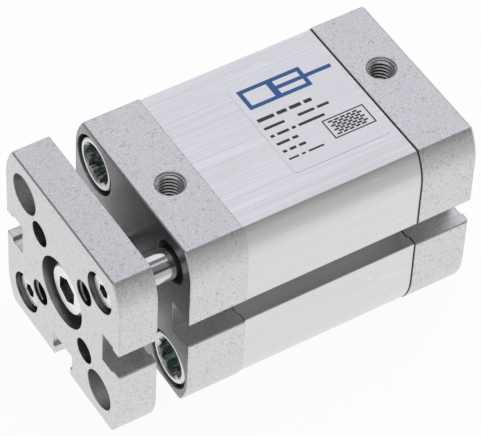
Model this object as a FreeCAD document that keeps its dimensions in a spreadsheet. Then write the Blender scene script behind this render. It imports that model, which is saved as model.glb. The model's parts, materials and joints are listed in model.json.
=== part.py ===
import FreeCAD, Part
import os
import Sketcher

# Compact guided pneumatic cylinder, bore 25, stroke 20, shown retracted.
# Frame: origin on the rod axis at the rear mounting face, +X towards the yoke plate,
# +Z up through the two air ports. All sizes are millimetres.

doc = FreeCAD.newDocument("guided_cylinder")
sizes = doc.addObject("Spreadsheet::Sheet", "sizes")

DRIVING_SIZES = [
    # housing section, shared by both caps, the barrel and the yoke plate
    ("body_size", 39.5),            # width and height of the square section
    ("flat_width", 34.75),          # flat top and bottom, between the corner arcs
    ("side_radius", 11.5),          # arc that turns each side in towards top and bottom
    ("base_radius", 0.8),           # small round along the two bottom edges
    ("barrel_inset", 0.2),          # barrel skin lies this far inside the caps
    ("edge_chamfer", 0.25),         # broken edge round the facing ends of cap and yoke
    ("rear_edge_chamfer", 0.45),
    # lengths along the axis
    ("end_cap_length", 11.5),
    ("bearing_cap_length", 11.5),
    ("stroke", 20.0),
    ("yoke_gap", 6.5),              # bearing cap to yoke plate, retracted
    ("yoke_thickness", 7.5),
    # sensor slots on three sides
    ("slot_mouth", 5.3),
    ("slot_inner", 6.6),
    ("slot_lip", 2.1),
    ("slot_wall", 1.65),            # barrel wall left between the slots and the bore
    ("slot_lip_radius", 0.25),
    ("cast_slot_extra", 0.15),      # cast slots stand back this far from the barrel's
    ("cast_lip_radius", 0.35),
    # cylinder bore and cap spigots
    ("bore_diameter", 25.0),
    ("spigot_length", 1.6),
    ("spigot_gap", 0.05),           # radial
    ("cap_seal_section", 1.0),      # thickness of the squeezed cap seals
    # end cushions
    ("buffer_inner", 14.0),
    ("buffer_outer", 18.0),
    ("buffer_length", 1.2),
    ("buffer_proud", 0.1),
    # collar screws that clamp the caps and carry the mounting threads
    ("screw_spacing", 26.0),
    ("collar_diameter", 10.2),
    ("collar_length", 4.7),
    ("collar_recess", 0.3),
    ("collar_well_gap", 0.8),       # radial gap round the collar
    ("collar_chamfer", 0.2),
    ("shank_diameter", 7.2),
    ("shank_hole_gap", 0.3),        # radial gap in the caps
    ("shank_grip", 8.0),            # length held in the barrel
    ("thread_gap", 0.05),           # radial gap between a threaded shank and its hole
    ("socket_diameter", 7.3),       # across the crests of the teeth
    ("socket_tooth", 0.5),          # height of the teeth
    ("socket_mouth", 8.6),          # lead-in cone of the toothed socket
    ("socket_depth", 3.0),
    ("mounting_thread", 5.0),
    # rear centring recess
    ("pilot_diameter", 9.0),
    ("pilot_depth", 2.1),
    # air ports and the passages behind them
    ("port_diameter", 5.0),
    ("port_countersink", 5.7),
    ("port_inset", 6.0),            # from the cap's outer face
    ("port_offset", 2.6),           # sideways from the middle
    ("port_sump", 0.4),             # port depth below the passage
    ("passage_diameter", 2.0),
    ("passage_circle", 21.8),
    # piston rod with its bush and seal
    ("rod_diameter", 10.0),
    ("running_gap", 0.04),          # radial clearance of every running fit
    ("press_gap", 0.01),            # radial clearance of a bush in its seat
    ("rod_bush_wall", 1.5),
    ("rod_seal_diameter", 12.0),
    ("rod_seal_length", 3.5),
    ("rod_seal_recess", 0.5),
    # guide rods with their bushes and wipers
    ("guide_diameter", 6.0),
    ("guide_bush_wall", 1.0),
    ("guide_channel_gap", 0.65),    # radial gap in the barrel's corner channels
    ("guide_reserve", 1.5),         # rod left behind its bush at full stroke
    ("guide_end_chamfer", 0.5),
    ("wiper_diameter", 8.5),
    ("wiper_length", 1.5),
    ("wiper_recess", 0.7),
    # yoke plate
    ("rod_seat_depth", 0.5),        # depth that the rods sink into the plate's back
    ("yoke_screw_web", 2.0),
    ("yoke_screw_well", 14.0),
    ("guide_screw_web", 3.4),
    ("guide_screw_well", 8.0),
    ("access_hole", 8.0),
    ("pin_hole", 5.0),
    ("tapped_hole", 5.0),
    ("yoke_hole_circle", 22.0),
    # yoke and guide rod screws
    ("yoke_screw_thread", 6.0),
    ("yoke_screw_head", 10.0),
    ("yoke_screw_head_length", 4.0),
    ("yoke_screw_hex", 5.0),
    ("yoke_screw_grip", 9.0),
    ("guide_screw_thread", 4.0),
    ("guide_screw_head", 7.0),
    ("guide_screw_head_length", 2.8),
    ("guide_screw_hex", 2.5),
    ("guide_screw_grip", 6.5),
    ("screw_hole_gap", 0.2),        # radial gap of a screw in a plain hole
    ("tap_reserve", 1.5),           # tapped depth below the screw's tip
    ("head_chamfer", 0.4),
    # piston
    ("piston_length", 12.4),
    ("end_gap", 0.2),               # piston to cap spigot at either end
    ("piston_gap", 0.2),            # radial gap of the piston body in the bore
    ("magnet_width", 3.0),
    ("magnet_boss", 14.0),
    ("wear_ring_depth", 1.6),
    ("piston_seal_width", 2.0),
    ("piston_seal_depth", 2.2),
    ("piston_land", 1.2),           # piston end face to seal groove
    ("stud_diameter", 6.0),
    ("nut_flats", 10.0),
    ("nut_length", 3.0),
    ("nut_recess", 0.2),
    ("nut_well_gap", 0.5),          # radial gap round the nut's corners
]

SOCKET_TEETH = 12

for row, (alias, value) in enumerate(DRIVING_SIZES, start=1):
    sizes.set(f"A{row}", alias.replace("_", " "))
    sizes.set(f"B{row}", str(value))
    sizes.setAlias(f"B{row}", alias)
doc.recompute()

# Derived places, as formulas on the sheet
HALF_BODY = "sizes.body_size / 2"
CORNER = "sizes.screw_spacing / 2"
BARREL_LENGTH = "(sizes.stroke + sizes.piston_length + 2 * sizes.spigot_length + 2 * sizes.end_gap)"
BARREL_REAR = "sizes.end_cap_length"
BARREL_FRONT = f"({BARREL_REAR} + {BARREL_LENGTH})"
HOUSING_FRONT = f"({BARREL_FRONT} + sizes.bearing_cap_length)"
YOKE_REAR = f"({HOUSING_FRONT} + sizes.yoke_gap)"
ROD_FRONT = f"({YOKE_REAR} + sizes.rod_seat_depth)"
PISTON_REAR = f"({BARREL_REAR} + sizes.spigot_length + sizes.end_gap)"
PISTON_FRONT = f"({PISTON_REAR} + sizes.piston_length)"

# Derived fits
SPIGOT_DIAMETER = "(sizes.bore_diameter - 2 * sizes.spigot_gap)"
SEAL_BORE = "(sizes.bore_diameter + 2 * sizes.cap_seal_section)"
COLLAR_WELL = "(sizes.collar_diameter + 2 * sizes.collar_well_gap)"
COLLAR_WELL_DEPTH = "(sizes.collar_length + sizes.collar_recess)"
SHANK_HOLE = "(sizes.shank_diameter + 2 * sizes.shank_hole_gap)"
SHANK_THREAD = "(sizes.shank_diameter + 2 * sizes.thread_gap)"
ROD_BUSH_OUTER = "(sizes.rod_diameter + 2 * sizes.running_gap + 2 * sizes.rod_bush_wall)"
ROD_SEAL_DEPTH = "(sizes.rod_seal_length + sizes.rod_seal_recess)"
GUIDE_BUSH_OUTER = "(sizes.guide_diameter + 2 * sizes.running_gap + 2 * sizes.guide_bush_wall)"
WIPER_DEPTH = "(sizes.wiper_length + sizes.wiper_recess)"
PASSAGE_HEIGHT = "sqrt((sizes.passage_circle / 2) ^ 2 - sizes.port_offset ^ 2)"
PORT_DEPTH = f"({HALF_BODY} - {PASSAGE_HEIGHT} + sizes.passage_diameter / 2 + sizes.port_sump)"
PISTON_DIAMETER = "(sizes.bore_diameter - 2 * sizes.piston_gap)"
SLOT_FLOOR = "(sizes.bore_diameter / 2 + sizes.slot_wall)"
PISTON_HALF = "((sizes.piston_length - sizes.magnet_width) / 2)"
NUT_WELL = "(2 * sizes.nut_flats / sqrt(3) + 2 * sizes.nut_well_gap)"
HOLE_ON_CIRCLE = "sizes.yoke_hole_circle / 2 / sqrt(2)"


def number(formula):
    """Value of a formula on the sheet."""
    return float(sizes.evalExpression(formula))


# ---------------------------------------------------------------- sketch helpers

def new_body(label, along="0", across="0", up="0"):
    """A body of its own whose place follows three formulas."""
    body = doc.addObject("PartDesign::Body", label)
    body.Label = label
    body.setExpression(".Placement.Base.x", along)
    body.setExpression(".Placement.Base.y", across)
    body.setExpression(".Placement.Base.z", up)
    return body


def origin_feature(body, role):
    return next(item for item in body.Origin.OriginFeatures if item.Role == role)


def new_sketch(body, name, plane="YZ_Plane", offset="0"):
    """A sketch on one of the body's own origin planes, moved along its normal."""
    sketch = body.newObject("Sketcher::SketchObject", name)
    sketch.AttachmentSupport = [(origin_feature(body, plane), "")]
    sketch.MapMode = "FlatFace"
    sketch.setExpression(".AttachmentOffset.Base.z", offset)
    return sketch


def dimension(sketch, kind, formula, *geometry):
    """A driving dimension of a sketch, bound to a formula."""
    index = sketch.addConstraint(Sketcher.Constraint(kind, *geometry, number(formula)))
    sketch.setExpression(f"Constraints[{index}]", formula)


def pin_point(sketch, geometry, end, point):
    """Dimension one point of the sketch from the sketch's origin."""
    dimension(sketch, "DistanceX", point[0], -1, 1, geometry, end)
    dimension(sketch, "DistanceY", point[1], -1, 1, geometry, end)


def draw_circle(sketch, diameter, across="0", up="0"):
    centre = FreeCAD.Vector(number(across), number(up), 0)
    circle = sketch.addGeometry(Part.Circle(centre, FreeCAD.Vector(0, 0, 1), number(diameter) / 2))
    pin_point(sketch, circle, 3, (across, up))
    dimension(sketch, "Diameter", diameter, circle)


def draw_outline(sketch, corners, arcs=None):
    """Closed outline through the corners. arcs maps the number of an edge to (centre, radius, turn),
    where turn is +1 for an arc that runs anticlockwise and -1 for one that runs clockwise."""
    arcs = arcs or {}
    points = [FreeCAD.Vector(number(across), number(up), 0) for across, up in corners]
    edges = []
    for index, start in enumerate(points):
        end = points[(index + 1) % len(points)]
        if index in arcs:
            (across, up), radius, turn = arcs[index]
            centre = FreeCAD.Vector(number(across), number(up), 0)
            first, last = (start, end) if turn > 0 else (end, start)
            circle = Part.Circle(centre, FreeCAD.Vector(0, 0, 1), number(radius))
            arc = Part.ArcOfCircle(circle, circle.parameter(first), circle.parameter(last))
            ends = (1, 2) if turn > 0 else (2, 1)
            edges.append((sketch.addGeometry(arc), *ends))
            dimension(sketch, "Radius", radius, edges[-1][0])
        else:
            edges.append((sketch.addGeometry(Part.LineSegment(start, end)), 1, 2))
    for index, (edge, start, end) in enumerate(edges):
        following, following_start, _ = edges[(index + 1) % len(edges)]
        sketch.addConstraint(Sketcher.Constraint("Coincident", edge, end, following, following_start))
        pin_point(sketch, edge, start, corners[index])


# --------------------------------------------------------------- feature helpers

def extrude(body, kind, sketch, name, length, backwards=False):
    """A pad along the sketch's normal or a pocket against it, or the other way when backwards."""
    feature = body.newObject(kind, name)
    feature.Profile = sketch
    feature.setExpression("Length", length)
    feature.Reversed = backwards
    sketch.Visibility = False
    return feature


def pad(body, sketch, name, length, backwards=False):
    return extrude(body, "PartDesign::Pad", sketch, name, length, backwards)


def pocket(body, sketch, name, length, backwards=False):
    return extrude(body, "PartDesign::Pocket", sketch, name, length, backwards)


def repeat_round_axis(body, feature, name, count, angle=360):
    """Polar pattern of one feature about the body's X axis."""
    pattern = body.newObject("PartDesign::PolarPattern", name)
    pattern.Originals = [feature]
    pattern.Axis = (origin_feature(body, "X_Axis"), [""])
    pattern.Angle = angle
    pattern.Occurrences = count
    body.Tip = pattern
    return pattern


def round_pocket(body, name, diameter, depth, face, across="0", up="0", backwards=False):
    """A round pocket that starts at the plane x = face."""
    sketch = new_sketch(body, f"{name}_sketch", offset=face)
    draw_circle(sketch, diameter, across, up)
    return pocket(body, sketch, name, depth, backwards)


def turned_body(label, profile, along="0", across="0", up="0"):
    """A body turned about the X axis from (distance along the axis, diameter) corners."""
    body = new_body(label, along, across, up)
    sketch = new_sketch(body, f"{label}_profile", plane="XY_Plane")
    draw_outline(sketch, [(distance, f"({diameter}) / 2") for distance, diameter in profile])
    turning = body.newObject("PartDesign::Revolution", f"{label}_turning")
    turning.Profile = sketch
    turning.ReferenceAxis = (sketch, ["H_Axis"])
    turning.Angle = 360
    sketch.Visibility = False
    return body


def turned_ring(label, inner, outer, length, along="0", across="0", up="0"):
    """A plain ring of rectangular section."""
    corners = [("0", inner), (length, inner), (length, outer), ("0", outer)]
    return turned_body(label, corners, along, across, up)


def polar_corner(diameter, angle):
    return (f"{diameter} / 2 * cos({angle} deg)", f"{diameter} / 2 * sin({angle} deg)")


def hexagon_corners(flats):
    return [polar_corner(f"(2 * {flats} / sqrt(3))", angle) for angle in range(30, 390, 60)]


def hexagon_socket(body, name, flats, depth, face):
    sketch = new_sketch(body, f"{name}_sketch", offset=face)
    draw_outline(sketch, hexagon_corners(flats))
    return pocket(body, sketch, name, depth)


# ------------------------------------------------------------- shared section

def draw_section(sketch, inset="0"):
    """Square section with a flat top and bottom. Each corner is a wide arc that is tangent to the
    side, and the two bottom corners end in a small round."""
    half = f"({HALF_BODY} - {inset})"
    arc = f"(sizes.side_radius - {inset})"
    small = "sizes.base_radius"
    centre_across = f"({HALF_BODY} - sizes.side_radius)"
    flat_reach = f"(sizes.flat_width / 2 - {centre_across})"
    centre_up = f"({HALF_BODY} - sqrt(sizes.side_radius ^ 2 - {flat_reach} ^ 2))"
    flat = f"({centre_across} + sqrt({arc} ^ 2 - ({half} - {centre_up}) ^ 2))"
    small_up = f"({half} - {small})"
    small_reach = f"sqrt(({arc} - {small}) ^ 2 - ({small_up} - {centre_up}) ^ 2)"
    small_across = f"({centre_across} + {small_reach})"
    join_scale = f"{arc} / ({arc} - {small})"
    join_across = f"({centre_across} + {join_scale} * {small_reach})"
    join_up = f"({centre_up} + {join_scale} * ({small_up} - {centre_up}))"
    corners = [
        (flat, half),
        (f"-{flat}", half),
        (f"-{half}", centre_up),
        (f"-{half}", f"-{centre_up}"),
        (f"-{join_across}", f"-{join_up}"),
        (f"-{small_across}", f"-{half}"),
        (small_across, f"-{half}"),
        (join_across, f"-{join_up}"),
        (half, f"-{centre_up}"),
        (half, centre_up),
    ]
    arcs = {
        1: ((f"-{centre_across}", centre_up), arc, 1),
        3: ((f"-{centre_across}", f"-{centre_up}"), arc, 1),
        4: ((f"-{small_across}", f"-{small_up}"), small, 1),
        6: ((small_across, f"-{small_up}"), small, 1),
        7: ((centre_across, f"-{centre_up}"), arc, 1),
        9: ((centre_across, centre_up), arc, 1),
    }
    draw_outline(sketch, corners, arcs)


def cut_sensor_slots(body, length, inset="0", extra="0", lip_radius="sizes.slot_lip_radius"):
    """T-slots along both sides and the bottom, cut back from the plane x = length."""
    face = f"({HALF_BODY} - {inset})"
    mouth = f"(sizes.slot_mouth / 2 + {extra})"
    inner = f"(sizes.slot_inner / 2 + {extra})"
    lip = f"({HALF_BODY} - sizes.slot_lip)"
    floor = f"({SLOT_FLOOR} - {extra})"
    outside = f"({face} + {lip_radius})"
    flare = f"({mouth} + {lip_radius})"
    corners = [
        (f"-{outside}", flare),
        (f"-{outside}", f"-{flare}"),
        (f"-{face}", f"-{flare}"),
        (f"-({face} - {lip_radius})", f"-{mouth}"),
        (f"-{lip}", f"-{mouth}"),
        (f"-{lip}", f"-{inner}"),
        (f"-{floor}", f"-{inner}"),
        (f"-{floor}", inner),
        (f"-{lip}", inner),
        (f"-{lip}", mouth),
        (f"-({face} - {lip_radius})", mouth),
        (f"-{face}", flare),
    ]
    arc_across = f"-({face} - {lip_radius})"
    arcs = {
        2: ((arc_across, f"-{flare}"), lip_radius, -1),
        10: ((arc_across, flare), lip_radius, -1),
    }
    sketch = new_sketch(body, "slot_outline", offset=length)
    draw_outline(sketch, corners, arcs)
    slot = pocket(body, sketch, "side_slot", length)
    return repeat_round_axis(body, slot, "three_slots", 3, 180)


def break_edges(body, face, size):
    """Chamfer the edges of the block's end face x = face."""
    doc.recompute()
    base = body.Tip
    plane = number(face)
    for index, end_face in enumerate(base.Shape.Faces, start=1):
        if abs(end_face.CenterOfMass.x - plane) < 1e-6:
            break
    chamfer = body.newObject("PartDesign::Chamfer", "broken_edges")
    chamfer.Base = (base, [f"Face{index}"])
    chamfer.setExpression("Size", size)


def cast_block(label, length, along, broken_face, broken_size="sizes.edge_chamfer"):
    """The cast block that both caps and the yoke plate start from, with one broken end face."""
    body = new_body(label, along)
    section = new_sketch(body, f"{label}_section")
    draw_section(section)
    pad(body, section, f"{label}_block", length)
    break_edges(body, broken_face, broken_size)
    cut_sensor_slots(body, length, extra="sizes.cast_slot_extra", lip_radius="sizes.cast_lip_radius")
    return body


# ---------------------------------------------------------------- housing pieces

def make_spigot(body, face, backwards):
    """Register that centres a cap in the barrel's bore, with its cushion groove."""
    sketch = new_sketch(body, "spigot_sketch", offset=face)
    draw_circle(sketch, SPIGOT_DIAMETER)
    pad(body, sketch, "spigot", "sizes.spigot_length", backwards)
    groove_face = f"({face} {'-' if backwards else '+'} sizes.spigot_length)"
    groove = new_sketch(body, "cushion_groove_sketch", offset=groove_face)
    draw_circle(groove, "sizes.buffer_outer")
    draw_circle(groove, "sizes.buffer_inner")
    pocket(body, groove, "cushion_groove", "sizes.buffer_length - sizes.buffer_proud", backwards)


def cut_air_port(body, along, across, spigot_face, backwards):
    """Port from the top with a countersunk mouth, and the passage that feeds it from the bore."""
    sketch = new_sketch(body, "port_sketch", plane="XY_Plane", offset=HALF_BODY)
    draw_circle(sketch, "sizes.port_diameter", along, across)
    doc.recompute()
    port = body.newObject("PartDesign::Hole", "air_port")
    port.Profile = sketch
    doc.recompute()
    port.ThreadType = 0
    port.DepthType = 0
    port.DrillPoint = 0
    port.HoleCutType = "Countersink"
    port.HoleCutCustomValues = True
    port.HoleCutCountersinkAngle = 90
    port.setExpression("Diameter", "sizes.port_diameter")
    port.setExpression("HoleCutDiameter", "sizes.port_countersink")
    port.setExpression("Depth", PORT_DEPTH)
    passage_length = f"abs({spigot_face} - {along})"
    round_pocket(body, "air_passage", "sizes.passage_diameter", passage_length, spigot_face,
                 across, PASSAGE_HEIGHT, backwards)


def cut_collar_seats(body, face, count, backwards, across):
    """Wells and clearance holes for the collar screws, from the cap's outer face inwards."""
    for name, diameter, depth in (("collar_well", COLLAR_WELL, COLLAR_WELL_DEPTH),
                                  ("shank_hole", SHANK_HOLE, "sizes.end_cap_length"
                                   if backwards else "sizes.bearing_cap_length")):
        seat = round_pocket(body, name, diameter, depth, face, across, CORNER, backwards)
        repeat_round_axis(body, seat, f"{name}_pattern", count)


def make_end_cap():
    body = cast_block("end_cap", "sizes.end_cap_length", "0", "0", "sizes.rear_edge_chamfer")
    inner_face = "sizes.end_cap_length"
    spigot_face = f"({inner_face} + sizes.spigot_length)"
    make_spigot(body, inner_face, backwards=False)
    cut_collar_seats(body, "0", 4, True, CORNER)
    round_pocket(body, "pilot_recess", "sizes.pilot_diameter", "sizes.pilot_depth", "0", backwards=True)
    cut_air_port(body, "sizes.port_inset", "-sizes.port_offset", spigot_face, False)
    return body


def make_bearing_cap():
    front_face = "sizes.bearing_cap_length"
    body = cast_block("bearing_cap", front_face, BARREL_FRONT, front_face)
    spigot_face = "(0 - sizes.spigot_length)"
    make_spigot(body, "0", backwards=True)
    cut_collar_seats(body, front_face, 2, False, f"-{CORNER}")
    round_pocket(body, "rod_bush_seat", f"({ROD_BUSH_OUTER} + 2 * sizes.press_gap)",
                 f"{front_face} + sizes.spigot_length - {ROD_SEAL_DEPTH}", spigot_face, backwards=True)
    round_pocket(body, "rod_seal_seat", "sizes.rod_seal_diameter", ROD_SEAL_DEPTH, front_face)
    guide_seat = round_pocket(body, "guide_bush_seat", f"({GUIDE_BUSH_OUTER} + 2 * sizes.press_gap)",
                              front_face, front_face, CORNER, CORNER)
    repeat_round_axis(body, guide_seat, "guide_bush_seats", 2)
    wiper_seat = round_pocket(body, "guide_wiper_seat", "sizes.wiper_diameter", WIPER_DEPTH,
                              front_face, CORNER, CORNER)
    repeat_round_axis(body, wiper_seat, "guide_wiper_seats", 2)
    cut_air_port(body, f"({front_face} - sizes.port_inset)", "sizes.port_offset", spigot_face, True)
    return body


def make_barrel():
    """Extruded barrel with the bore, the seal grooves at both ends and the corner channels."""
    body = new_body("barrel", BARREL_REAR)
    section = new_sketch(body, "barrel_section")
    draw_section(section, "sizes.barrel_inset")
    pad(body, section, "extrusion", BARREL_LENGTH)
    cut_sensor_slots(body, BARREL_LENGTH, inset="sizes.barrel_inset")
    round_pocket(body, "bore", "sizes.bore_diameter", BARREL_LENGTH, BARREL_LENGTH)
    round_pocket(body, "front_seal_bore", SEAL_BORE, "sizes.cap_seal_section", BARREL_LENGTH)
    round_pocket(body, "rear_seal_bore", SEAL_BORE, "sizes.cap_seal_section", "0", backwards=True)
    tapped_ends = [("rear_tapped", "0", 4, True), ("front_tapped", BARREL_LENGTH, 2, False)]
    for name, face, count, backwards in tapped_ends:
        tapped = round_pocket(body, name, SHANK_THREAD, "sizes.shank_grip", face,
                              f"-{CORNER}", CORNER, backwards)
        repeat_round_axis(body, tapped, f"{name}_pattern", count)
    channel = round_pocket(body, "guide_channel", "(sizes.guide_diameter + 2 * sizes.guide_channel_gap)",
                           f"({BARREL_LENGTH} - sizes.shank_grip)", BARREL_LENGTH, CORNER, CORNER)
    repeat_round_axis(body, channel, "guide_channels", 2)
    return body


def make_collar_screw(label, along, direction, across, up):
    """Hollow screw whose collar has a twelve-tooth socket and a mounting thread right through.
    direction is +1 for a screw that looks forwards and -1 for one that looks back."""
    cap_length = "sizes.bearing_cap_length" if direction > 0 else "sizes.end_cap_length"
    shank_length = f"({cap_length} - {COLLAR_WELL_DEPTH} + sizes.shank_grip)"
    collar_face = f"({shank_length} + sizes.collar_length)"
    socket_floor = f"({collar_face} - sizes.socket_depth)"
    profile = [
        ("0", "sizes.mounting_thread"),
        (socket_floor, "sizes.mounting_thread"),
        (socket_floor, "sizes.socket_diameter"),
        (f"{collar_face} - (sizes.socket_mouth - sizes.socket_diameter) / 2", "sizes.socket_diameter"),
        (collar_face, "sizes.socket_mouth"),
        (collar_face, "sizes.collar_diameter - 2 * sizes.collar_chamfer"),
        (f"{collar_face} - sizes.collar_chamfer", "sizes.collar_diameter"),
        (shank_length, "sizes.collar_diameter"),
        (shank_length, "sizes.shank_diameter"),
        ("0", "sizes.shank_diameter"),
    ]
    body = turned_body(label, profile, along, across, up)
    if direction < 0:
        body.Placement.Rotation = FreeCAD.Rotation(FreeCAD.Vector(0, 0, 1), 180)
    tip_diameter = "(sizes.socket_diameter + 2 * sizes.socket_tooth)"
    star = []
    for tooth in range(SOCKET_TEETH):
        angle = 360 / SOCKET_TEETH * tooth
        star.append(polar_corner("sizes.socket_diameter", angle))
        star.append(polar_corner(tip_diameter, angle + 180 / SOCKET_TEETH))
    sketch = new_sketch(body, "socket_sketch", offset=collar_face)
    draw_outline(sketch, star)
    pocket(body, sketch, "toothed_socket", "sizes.socket_depth")
    return body


def make_collar_screws():
    front_tip = f"({BARREL_FRONT} - sizes.shank_grip)"
    rear_tip = f"({BARREL_REAR} + sizes.shank_grip)"
    screws = [
        ("collar_screw_front_upper", front_tip, 1, f"-{CORNER}", CORNER),
        ("collar_screw_front_lower", front_tip, 1, CORNER, f"-{CORNER}"),
    ]
    for side, across in (("near", CORNER), ("far", f"-{CORNER}")):
        for level, up in (("upper", CORNER), ("lower", f"-{CORNER}")):
            screws.append((f"collar_screw_rear_{side}_{level}", rear_tip, -1, across, up))
    return [make_collar_screw(*screw) for screw in screws]


def make_bearing_pieces():
    """Bushes, seals and wipers of the three rods, and the cushions at both ends."""
    running = "2 * sizes.running_gap"
    rod_bore = f"(sizes.rod_diameter + {running})"
    guide_bore = f"(sizes.guide_diameter + {running})"
    spigot_end = f"({BARREL_FRONT} - sizes.spigot_length)"
    pieces = [
        turned_ring("rod_bush", rod_bore, ROD_BUSH_OUTER,
                    f"({HOUSING_FRONT} - {ROD_SEAL_DEPTH} - {spigot_end})", spigot_end),
        turned_ring("rod_seal", rod_bore, "sizes.rod_seal_diameter", "sizes.rod_seal_length",
                    f"({HOUSING_FRONT} - {ROD_SEAL_DEPTH})"),
        turned_ring("buffer_front", "sizes.buffer_inner", "sizes.buffer_outer", "sizes.buffer_length",
                    f"({spigot_end} - sizes.buffer_proud)"),
        turned_ring("buffer_rear", "sizes.buffer_inner", "sizes.buffer_outer", "sizes.buffer_length",
                    f"({BARREL_REAR} + sizes.spigot_length + sizes.buffer_proud - sizes.buffer_length)"),
        turned_ring("cap_seal_front", "sizes.bore_diameter", SEAL_BORE, "sizes.cap_seal_section",
                    f"({BARREL_FRONT} - sizes.cap_seal_section)"),
        turned_ring("cap_seal_rear", "sizes.bore_diameter", SEAL_BORE, "sizes.cap_seal_section", BARREL_REAR),
    ]
    for level, place in (("upper", CORNER), ("lower", f"-{CORNER}")):
        pieces.append(turned_ring(f"guide_bush_{level}", guide_bore, GUIDE_BUSH_OUTER,
                                  f"(sizes.bearing_cap_length - {WIPER_DEPTH})", BARREL_FRONT, place, place))
        pieces.append(turned_ring(f"guide_wiper_{level}", guide_bore, "sizes.wiper_diameter",
                                  "sizes.wiper_length", f"({HOUSING_FRONT} - {WIPER_DEPTH})", place, place))
    return pieces


# --------------------------------------------------------------- carriage pieces

def make_yoke_plate():
    front = "sizes.yoke_thickness"
    body = cast_block("yoke_plate", front, YOKE_REAR, front)
    screw_gap = "2 * sizes.screw_hole_gap"
    fit_gap = "2 * sizes.thread_gap"
    round_pocket(body, "rod_seat", f"(sizes.rod_diameter + {fit_gap})", "sizes.rod_seat_depth",
                 "0", backwards=True)
    round_pocket(body, "yoke_screw_hole", f"(sizes.yoke_screw_thread + {screw_gap})", front, front)
    round_pocket(body, "yoke_screw_well", "sizes.yoke_screw_well",
                 f"{front} - sizes.rod_seat_depth - sizes.yoke_screw_web", front)
    guide_cuts = [
        ("guide_seat", f"(sizes.guide_diameter + {fit_gap})", "sizes.rod_seat_depth", "0", True),
        ("guide_screw_hole", f"(sizes.guide_screw_thread + {screw_gap})", front, front, False),
        ("guide_screw_well", "sizes.guide_screw_well",
         f"{front} - sizes.rod_seat_depth - sizes.guide_screw_web", front, False),
    ]
    for name, diameter, depth, face, backwards in guide_cuts:
        cut = round_pocket(body, name, diameter, depth, face, CORNER, CORNER, backwards)
        repeat_round_axis(body, cut, f"{name}_pair", 2)
    plain_holes = [
        ("access_hole", "sizes.access_hole", f"-{CORNER}", CORNER),
        ("pin_hole", "sizes.pin_hole", f"-{HOLE_ON_CIRCLE}", HOLE_ON_CIRCLE),
        ("tapped_hole", "sizes.tapped_hole", HOLE_ON_CIRCLE, HOLE_ON_CIRCLE),
    ]
    for name, diameter, across, up in plain_holes:
        hole = round_pocket(body, name, diameter, front, front, across, up)
        repeat_round_axis(body, hole, f"{name}_pair", 2)
    return body


def make_piston_rod():
    """Ground rod with a stud for the piston and a tapped front end for the yoke screw."""
    tip = f"({PISTON_REAR} + sizes.nut_recess)"
    shoulder = f"({PISTON_FRONT} - {tip})"
    front = f"({ROD_FRONT} - {tip})"
    tap_start = f"{front} - sizes.yoke_screw_grip - sizes.tap_reserve"
    return turned_body("piston_rod", [
        ("0", "0"),
        (tap_start, "0"),
        (tap_start, "sizes.yoke_screw_thread"),
        (front, "sizes.yoke_screw_thread"),
        (front, "sizes.rod_diameter"),
        (shoulder, "sizes.rod_diameter"),
        (shoulder, "sizes.stud_diameter"),
        ("0", "sizes.stud_diameter"),
    ], tip)


def make_guide_rod(label, place):
    """Guide rod that still fills its bush at full stroke, tapped for its screw."""
    rear = f"({BARREL_FRONT} - sizes.stroke - sizes.guide_reserve)"
    front = f"({ROD_FRONT} - {rear})"
    tap_start = f"{front} - sizes.guide_screw_grip - sizes.tap_reserve"
    chamfer = "sizes.guide_end_chamfer"
    return turned_body(label, [
        ("0", "0"),
        (tap_start, "0"),
        (tap_start, "sizes.guide_screw_thread"),
        (front, "sizes.guide_screw_thread"),
        (front, "sizes.guide_diameter"),
        (chamfer, "sizes.guide_diameter"),
        ("0", f"sizes.guide_diameter - 2 * {chamfer}"),
    ], rear, place, place)


def make_head_screw(label, kind, across="0", up="0"):
    """Low-head socket screw that holds a rod to the yoke plate. kind names its group of sizes."""
    size = f"sizes.{kind}_screw"
    thread = f"{size}_thread - 2 * sizes.thread_gap"
    shank = f"({size}_web + {size}_grip)"
    top = f"({shank} + {size}_head_length)"
    tip = f"({ROD_FRONT} - {size}_grip)"
    body = turned_body(label, [
        ("0", "0"),
        (top, "0"),
        (top, f"{size}_head - 2 * sizes.head_chamfer"),
        (f"{top} - sizes.head_chamfer", f"{size}_head"),
        (shank, f"{size}_head"),
        (shank, thread),
        ("0", thread),
    ], tip, across, up)
    hexagon_socket(body, f"{label}_socket", f"{size}_hex", f"{size}_head_length / 2", top)
    return body


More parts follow.
